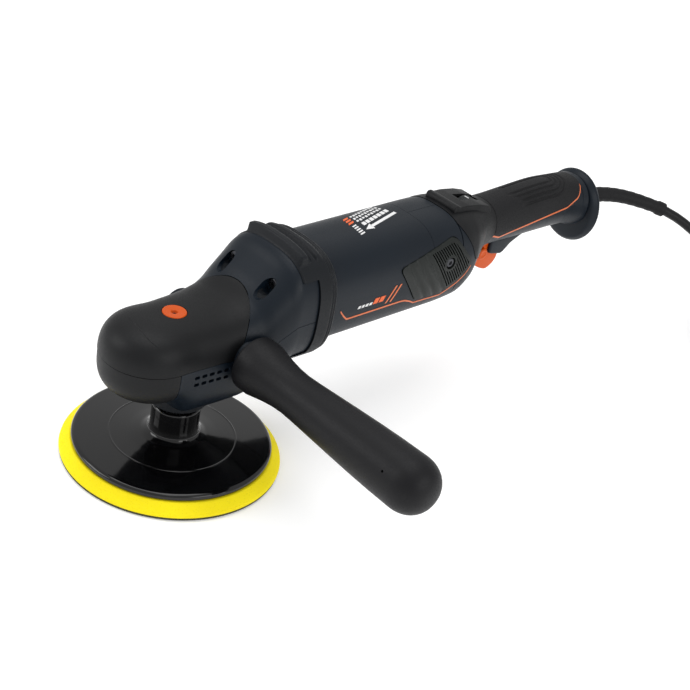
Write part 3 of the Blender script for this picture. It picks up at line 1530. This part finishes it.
# ------------------------------------------------------------------------------------ lead
LEAD_ROUTE = (
    (0.396, 0, 0.1084), (0.409, -0.0003, 0.1088), (0.425, -0.004, 0.1092), (0.442, -0.012, 0.108),
    (0.459, -0.023, 0.1044), (0.477, -0.0365, 0.0984), (0.491, -0.048, 0.0904), (0.505, -0.0605, 0.0786),
    (0.519, -0.0736, 0.0648), (0.533, -0.0864, 0.0518), (0.546, -0.0984, 0.0424), (0.554, -0.1064, 0.0394),
    (0.5604, -0.114, 0.0384),
)


def smooth_line(points: Sequence[Vector], step: float) -> list[Vector]:
    """Passes a smooth line through points.

    Args:
        points: the points.
        step: the spacing of the result.

    Returns:
        Evenly spaced points along the line.
    """
    fine: list[Vector] = []
    for i in range(len(points) - 1):
        p1, p2 = points[i], points[i + 1]
        p0 = points[i - 1] if i else p1 * 2 - p2
        p3 = points[i + 2] if i + 2 < len(points) else p2 * 2 - p1
        for k in range(24):
            t = k / 24
            fine.append(((p1 * 2) + (p2 - p0) * t + (p0 * 2 - p1 * 5 + p2 * 4 - p3) * t**2
                         + (p1 * 3 - p0 - p2 * 3 + p3) * t**3) / 2)
    fine.append(points[-1])
    out, gone = [fine[0]], 0.0
    for a, b in zip(fine, fine[1:]):
        gone += (b - a).length
        if gone >= step:
            out.append(b)
            gone = 0.0
    if (out[-1] - fine[-1]).length > step * 0.3:
        out.append(fine[-1])
    else:
        out[-1] = fine[-1]
    return out


@dataclass
class Lead:
    """The mains lead: its free stretch, the tied coil and the plug."""

    shop: Workshop
    centre: Point2 = (524.0, -152.0)
    outer: float = 58.65
    inner: float = 34.35
    layers: tuple[float, ...] = (29.6, 21.6, 13.6, 5.6)
    turns: int = 3
    plug_angle: float = -1.05
    plug_height: float = 19.0
    tail_radius: float = 68.0
    relief: float = 91.0

    def _round(self, angle: float, radius: float, z: float) -> Vector:
        """Returns a point round the coil's centre."""
        return Vector(
            (self.centre[0] + radius * math.cos(angle), self.centre[1] + radius * math.sin(angle), z)
        )

    def _coil(self) -> list[Vector]:
        """Returns the coil's line, from where the free stretch meets it to the start of its tail."""
        line: list[Vector] = []
        angle, step = math.radians(46), math.tau / 28
        reach = math.radians(60)
        start_radius, start_z = 52.6, 38.4
        count = math.ceil(reach / step)
        for k in range(1, count + 1):
            t = smoothstep(0, 1, k / count)
            line.append(self._round(angle - reach * k / count, start_radius + (self.outer - start_radius) * t,
                                    start_z + (self.layers[0] - start_z) * t))
        angle -= reach
        inward = True
        for i, z in enumerate(self.layers):
            count = 28 * self.turns
            begin, end = (self.outer, self.inner) if inward else (self.inner, self.outer)
            for k in range(1, count + 1):
                line.append(self._round(angle - step * k, begin + (end - begin) * k / count, z))
            angle -= math.tau * self.turns
            inward = not inward
            if i + 1 < len(self.layers):
                for k in range(1, 8):
                    t = smoothstep(0, 1, k / 7)
                    line.append(
                        self._round(angle - math.pi / 2 * k / 7, end, z + (self.layers[i + 1] - z) * t)
                    )
                angle -= math.pi / 2
        leave = self.plug_angle - math.tau * math.ceil((self.plug_angle - angle) / math.tau)
        sweep = angle - leave
        if sweep < math.radians(60):
            sweep += math.tau
        count = max(6, math.ceil(sweep / step))
        last_radius, last_z = end, self.layers[-1]
        for k in range(1, count + 1):
            t = k / count
            out = smoothstep(0, 0.55, t)
            up = smoothstep(0.35, 1, t)
            line.append(self._round(angle - sweep * t, last_radius + (self.tail_radius - last_radius) * out,
                                    last_z + (self.plug_height - last_z) * up))
        return line

    def _plug_way(self) -> Vector:
        """Returns the direction in which the tail leaves the coil."""
        return Vector((math.sin(self.plug_angle), -math.cos(self.plug_angle), 0))

    def line(self) -> list[Vector]:
        """Returns the whole lead's centreline in millimetres."""
        free = [Vector(point) / MM for point in LEAD_ROUTE]
        coil = self._coil()
        tail = [coil[-1] + self._plug_way() * d for d in (6, 13, 20, 28)]
        stretch = smooth_line(free, 10.0)
        return stretch + coil + tail

    def build(self) -> None:
        line = self.line()
        data = bpy.data.curves.new("MainsLead", "CURVE")
        data.dimensions = "3D"
        spline = data.splines.new("POLY")
        spline.points.add(len(line) - 1)
        for point, spot in zip(spline.points, line):
            point.co = (*(spot * MM), 1)
        data.bevel_depth = 0.004
        data.bevel_resolution = 5
        data.use_fill_caps = True
        data.materials.append(self.shop.material(Look.LEAD))
        cord = bpy.data.objects.new("MainsLead", data)
        bpy.context.scene.collection.objects.link(cord)
        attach(cord, "root")
        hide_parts("cord", "cord_coil")
        Look.LEAD.slot
        length = sum((b - a).length for a, b in zip(line, line[1:])) * MM
        LOG.info("Mains lead: %.3f m in %d points", length, len(line))
        sleeve = self._relief()
        plug = self._plug()

    def _relief(self) -> bpy.types.Object:
        """Builds the ribbed rubber sleeve over the lead's first part."""
        path = smooth_line([Vector(point) / MM for point in LEAD_ROUTE], 1.0)
        gone, cut = 0.0, len(path)
        for i, (a, b) in enumerate(zip(path, path[1:])):
            gone += (b - a).length
            if gone > self.relief:
                cut = i + 1
                break
        path = path[:cut]
        profile = []
        for i in range(len(path)):
            s = self.relief * i / (len(path) - 1)
            rib = 0.18 * smoothstep(
                0.2, 0.8, 0.5 + 0.5 * math.cos(math.tau * s / 7.0)
            ) if 10 < s < 84 else 0.0
            end = 0.9 if s > 86 else 0.0
            profile.append(6.7 - 1.7 * s / self.relief + rib + end)

        def spot(u: float, v: float) -> Vector:
            """Returns a point on the ribbed sleeve."""
            i = min(len(path) - 1, round(v * (len(path) - 1)))
            ahead = (path[min(i + 1, len(path) - 1)] - path[max(i - 1, 0)]).normalized()
            across = ahead.cross(Vector((0, 0, 1))).normalized()
            above = across.cross(ahead)
            angle = math.tau * u
            return path[i] + (across * math.cos(angle) + above * math.sin(angle)) * profile[i]

        bm = sheet_mesh(spot, 32, len(path) - 1)
        bmesh.ops.holes_fill(bm, edges=[e for e in bm.edges if len(e.link_faces) == 1])
        face_out(bm)
        return self.shop.piece("Lead sleeve", bm, Look.RUBBER, nodes=("strain_relief",), edge=0.3)

    def _plug(self) -> bpy.types.Object:
        """Builds the moulded plug with its two pins."""
        start = self._round(self.plug_angle, self.tail_radius, self.plug_height)
        way = self._plug_way()
        shell = turned_mesh(rounded_profile([
            (0, 4), (5, 4, 0.4), (5.4, 14, 0.5), (6.4, 29, 0.5), (9, 30.5, 1), (12.6, 35.5, 2),
            (14.2, 46, 3), (14.6, 50, 2),
            (17.6, 58, 3), (18.4, 63, 1), (18.4, 66, 0.8), (0, 66),
        ]), 64)
        bm = aimed(shell, way, start)
        out = Vector((math.cos(self.plug_angle), math.sin(self.plug_angle), 0))
        for offset in (-9.5, 9.5):
            pin = turned_mesh(
                rounded_profile([(0, 62), (2.4, 62), (2.4, 83.4, 0.8), (1.3, 84.5, 0.5), (0, 84.5)]), 24
            )
            merge_in(bm, aimed(pin, way, start + out * offset))
        return self.shop.piece("Plug", bm, Look.RUBBER, nodes=("cord_plug",), edge=0.3)


# ------------------------------------------------------------------------------------ marks
def blended(corners: Sequence[Point2], u: float, v: float) -> Point2:
    """Returns the place inside four corners, u of the way along and v of the way across."""
    a, b, c, d = (Vector(corner) for corner in corners)
    p = (a * (1 - u) + b * u) * (1 - v) + (d * (1 - u) + c * u) * v
    return (p.x, p.y)


@dataclass
class Marks:
    """The stripes and generic printed marks, as thin skins on the casing."""

    shop: Workshop
    lift: float = 0.2

    def _strip(
        self, name: str, low: Sequence[Point2], high: Sequence[Point2], form: Form, side: int, look: Look,
        lift: float = 0.0, columns: int = 90,
    ) -> None:
        """Lays a strip along one side, between two lines of (x, z) knots.

        Args:
            name: the piece's name.
            low: its lower line.
            high: its upper line.
            form: the surface it lies on.
            side: -1 or +1.
            look: its finish.
            lift: how far off the form it lies, besides the skin itself.
            columns: steps along it.
        """
        x0, x1 = max(low[0][0], high[0][0]), min(low[-1][0], high[-1][0])

        def spot(u: float, v: float) -> Vector:
            """Returns a point of the strip from its two shares."""
            x = x0 + (x1 - x0) * u
            z = along(low, x) + (along(high, x) - along(low, x)) * v
            return form.side_spot(x, z, side, lift + self.lift)

        bm = walled(sheet_mesh(spot, columns, 6), 0.3, axis_inside)
        self.shop.piece(name, bm, look)

    def _quad(
        self, corners: Sequence[Point2], lay: Place, steps: tuple[int, int], look: Look, name: str
    ) -> None:
        """Lays a four-cornered patch where lay puts each of its flat places."""
        sheet = sheet_mesh(lambda u, v: lay(*blended(corners, u, v)), *steps)
        self.shop.piece(name, walled(sheet, 0.3, axis_inside), look)

    def _side_quad(self, corners: Sequence[Point2], side: int, look: Look, name: str) -> None:
        """Lays a four-cornered patch on one side of the barrel."""
        self._quad(corners, lambda x, z: BARREL.side_spot(x, z, side, self.lift), (6, 16), look, name)

    def _top_quad(self, corners: Sequence[Point2], look: Look, name: str) -> None:
        """Lays a four-cornered patch on the barrel's top."""
        self._quad(corners, lambda x, y: BARREL.top_spot(x, y, self.lift), (24, 12), look, name)

    def _label_spot(self, across: float, down: float) -> Point2:
        """Returns the (x, y) place on the barrel's top of a place on the label, both from 0 to 1."""
        return blended(((139.0, 12.8), (179.6, 24.3), (184.0, 0.0), (135.0, -12.7)), across, down)

    def _label_patch(self, x: Point2, y: Point2, look: Look, name: str, lean: float = 0.0) -> None:
        """Lays a small patch of the top label between two places across it and two down it."""
        corners = [(x[0] + lean, y[0]), (x[1] + lean, y[0]), (x[1], y[1]), (x[0], y[1])]
        self._top_quad([self._label_spot(*corner) for corner in corners], look, name)

    def _label(self) -> None:
        """Lays the top label: rows of fine bars, a thick arrow and an orange block, with no lettering."""
        for row in range(3):
            for k in range(9):
                x = 0.22 + 0.083 * k
                y = 0.06 + 0.15 * row
                self._label_patch(
                    (x, x + 0.05), (y, y + 0.07 + 0.02 * ((row + k) % 2)), Look.PRINT, f"Top bar {row}{k}"
                )
        for k in range(7):
            x = 0.25 + 0.105 * k
            self._label_patch((x, x + 0.08), (0.54, 0.68), Look.PRINT, f"Top block {k}")
        self._label_patch((0.34, 1.0), (0.80, 0.9), Look.PRINT, "Arrow shaft")
        arrow_head = ((0.2, 0.85), (0.36, 0.72), (0.36, 0.85), (0.36, 0.98))
        self._top_quad([self._label_spot(*p) for p in arrow_head], Look.PRINT, "Arrow head")
        for k in range(3):
            self._label_patch(
                (0.0, 0.14), (0.04 + 0.13 * k, 0.12 + 0.13 * k), Look.ORANGE_PRINT, f"Orange bar {k}", 0.03
            )
        for k in range(5):
            self._label_patch((0.03, 0.13), (0.48 + 0.1 * k, 0.53 + 0.1 * k), Look.PRINT, f"Small bar {k}")

    def _nose_line(self) -> None:
        """Lays the fine raised curve on the nose."""
        spots = ((-41.4, 8.6, 0), (-42.9, 0, 0), (-43.7, -9, 0), (-43.5, -16.2, 0), (-41.2, -23.6, 0))
        knots = [Vector(k) for k in spots]
        path = smooth_line(knots, 0.8)
        start = NECK.at(-28.6)
        middle, rise = (start.top + start.bottom) / 2, (start.top - start.bottom) / 2

        def spot(u: float, v: float) -> Vector:
            """Returns a point of the line along the nose."""
            i = min(len(path) - 1, round(u * (len(path) - 1)))
            ahead = (path[min(i + 1, len(path) - 1)] - path[max(i - 1, 0)]).normalized()
            width = 0.45 * math.sin(math.pi * (0.06 + 0.88 * u))
            across = Vector((-ahead.y, ahead.x, 0)) * width * (2 * v - 1)
            p = path[i] + across
            reach = math.hypot(p.x + 28.6, p.y)
            height = middle + rise * (1 - (reach / start.half) ** start.upper) ** (1 / start.upper)
            return Vector((p.x, p.y, height + 0.3 + 0.22 * math.sin(math.pi * v)))

        bm = walled(sheet_mesh(spot, len(path) - 1, 6), 0.6, axis_inside)
        self.shop.piece("Nose line", bm, Look.CHARCOAL)

    def build(self) -> None:
        """Lays every mark."""
        self._label()
        self._nose_line()
        for name, side in (("left", -1), ("right", 1)):
            path = [
                (103, 102), (106.6, 97.6), (110.6, 93.8), (113, 93.6), (163, 93.6), (168, 93.0),
                (174, 90.6), (179, 87.8), (207, 86.6), (222, 93.6), (229, 98.6), (234.6, 104.6),
            ]
            thick = [1.5, 1.5, 1.5, 1.2, 1.2, 1.2, 1.2, 1.1, 1.1, 1.2, 1.2, 1.0]
            low = [(x, z - t / 2) for (x, z), t in zip(path, thick)]
            high = [(x, z + t / 2) for (x, z), t in zip(path, thick)]
            self._strip(f"Side stripe {name}", low, high, BARREL, side, Look.STRIPE, columns=140)
            line = [
                (262, 110.1), (266.4, 113.6), (275.4, 112.3), (284, 108.8), (328, 114), (362, 117.8),
                (374, 123.8), (379.8, 131.6)
            ]
            low, high = ([(x, z - drop) for x, z in line] for drop in (1.5, 0.2))
            self._strip(f"Grip stripe {name}", low, high, BARREL, side, Look.STRIPE)
            for i in range(2):
                x = 146.6 + 4.6 * i
                bar = [(x, 96.6), (x + 1.5, 96.6), (x + 9.5, 109), (x + 8, 109)]
                self._side_quad(bar, side, Look.STRIPE, f"Slanted bar {i + 1} {name}")
            for i in range(6):
                x, look = 119.5 + 3.6 * i, Look.PRINT if i < 4 else Look.ORANGE_PRINT
                rise = 2.0 if i < 4 else 4.2
                width = 2.4 if i < 4 else 4.4
                x += 0 if i < 5 else 2.0
                bar = [
                    (x, 99.4), (x + width, 99.4), (x + width + 0.5 * rise, 99.4 + rise),
                    (x + 0.5 * rise, 99.4 + rise)
                ]
                self._side_quad(bar, side, look, f"Side bar {i + 1} {name}")


# ------------------------------------------------------------------------------------ studio
class Studio:
    """The camera, the lights and the floor."""

    def camera(self) -> None:
        """Places the camera."""
        data = bpy.data.cameras.new("Camera")
        data.lens = 18 / math.tan(math.radians(13))
        data.sensor_width = 36
        data.clip_end = 20
        obj = bpy.data.objects.new("Camera", data)
        right, up, back = (0.7230, -0.6695, 0.1707), (0.2495, 0.4834, 0.8391), (-0.6443, -0.5640, 0.5165)
        turn = Matrix((right, up, back)).transposed().to_4x4()
        obj.matrix_world = Matrix.Translation((-0.5498, -0.6168, 0.6043)) @ turn
        bpy.context.scene.collection.objects.link(obj)
        bpy.context.scene.camera = obj

    def _area(self, name: str, spot: Sequence[float], size: float, power: float) -> None:
        """Hangs a soft square light aimed at the tool."""
        data = bpy.data.lights.new(name, "AREA")
        data.size = size
        data.energy = power
        obj = bpy.data.objects.new(name, data)
        obj.location = spot
        obj.rotation_euler = (Vector(spot) - Vector((0.15, 0, 0.08))).to_track_quat("Z", "Y").to_euler()
        bpy.context.scene.collection.objects.link(obj)

    def light(self) -> None:
        """Hangs the lights and sets the pale surroundings."""
        world = bpy.data.worlds.new("Studio")
        world.use_nodes = True
        background = world.node_tree.nodes["Background"]
        background.inputs["Color"].default_value = (1, 1, 1, 1)
        background.inputs["Strength"].default_value = 0.7
        bpy.context.scene.world = world
        bpy.context.scene.view_settings.view_transform = "Standard"
        self._area("Overhead", (0.1, 0.2, 1.6), 1.2, 9)
        self._area("Left", (-1.1, 0.9, 0.9), 0.8, 7)
        self._area("Front", (0.2, -1.5, 0.8), 1.0, 7)

    def floor(self) -> None:
        """Lays the pale floor."""
        bm = bmesh.new()
        bmesh.ops.create_grid(bm, x_segments=2, y_segments=2, size=3)
        mesh = bpy.data.meshes.new("Floor")
        bm.to_mesh(mesh)
        bm.free()
        made = bpy.data.materials.new("Studio floor")
        made.use_nodes = True
        tree = made.node_tree
        noise = tree.nodes.new("ShaderNodeTexNoise")
        noise.inputs["Scale"].default_value = 3
        where = tree.nodes.new("ShaderNodeTexCoord")
        ramp = tree.nodes.new("ShaderNodeMix")
        ramp.data_type = "RGBA"
        ramp.inputs["A"].default_value = (0.93, 0.93, 0.93, 1)
        ramp.inputs["B"].default_value = (0.97, 0.97, 0.97, 1)
        shader = tree.nodes["Principled BSDF"]
        shader.inputs["Roughness"].default_value = 0.8
        shader.inputs["Emission Color"].default_value = (1, 1, 1, 1)
        shader.inputs["Emission Strength"].default_value = 0.22
        joined(tree, (
            (where.outputs["Object"], noise.inputs["Vector"]), (noise.outputs["Fac"], ramp.inputs["Factor"]),
            (ramp.outputs["Result"], shader.inputs["Base Color"]),
        ))
        mesh.materials.append(made)
        obj = bpy.data.objects.new("Floor", mesh)
        obj.location.z = -0.0006
        bpy.context.scene.collection.objects.link(obj)


SLOT_LOOKS = {
    "steel": Look.STEEL, "cast_aluminium": Look.CAST, "bronze": Look.BRONZE, "copper": Look.COPPER,
    "lamination": Look.LAMINATION, "inner_plastic": Look.INNER, "circuit_board": Look.BOARD,
    "carbon": Look.CARBON,
    "black_rubber": Look.RUBBER, "charcoal_shell": Look.CHARCOAL, "navy_shell": Look.NAVY,
    "vent_plastic": Look.VENT, "orange_plastic": Look.ORANGE, "gloss_black": Look.PAD,
    "yellow_foam": Look.FOAM,
    "hook_fabric": Look.HOOKS, "grip_plastic": Look.GRIP,
}


def main() -> None:
    """Builds the studio, the tool and its finishes."""
    logging.basicConfig(level=logging.INFO, format="%(name)s: %(message)s")
    shop = Workshop()
    studio = Studio()
    studio.camera()
    Lead(shop).build()
    studio.light()
    studio.floor()
    for part in frame["record"]["subparts"]:
        if part["node"] in frame["nodes"]:
            shop.dress(part["node"], SLOT_LOOKS[part["material_slot"]])
    shop.dress("gear_case", Look.PAINTED_CAST)
    shop.dress("gear_lid", Look.PAINTED_CAST)
    HeadCasings(shop).build()
    Collar(shop).build()
    barrel = Barrel(shop)
    barrel.build()
    RearHandle(shop, barrel.window).build()
    Controls(shop).build()
    Pad(shop).build()
    SideHandle(shop).build()
    Marks(shop).build()


if __name__ == "__main__":
    main()
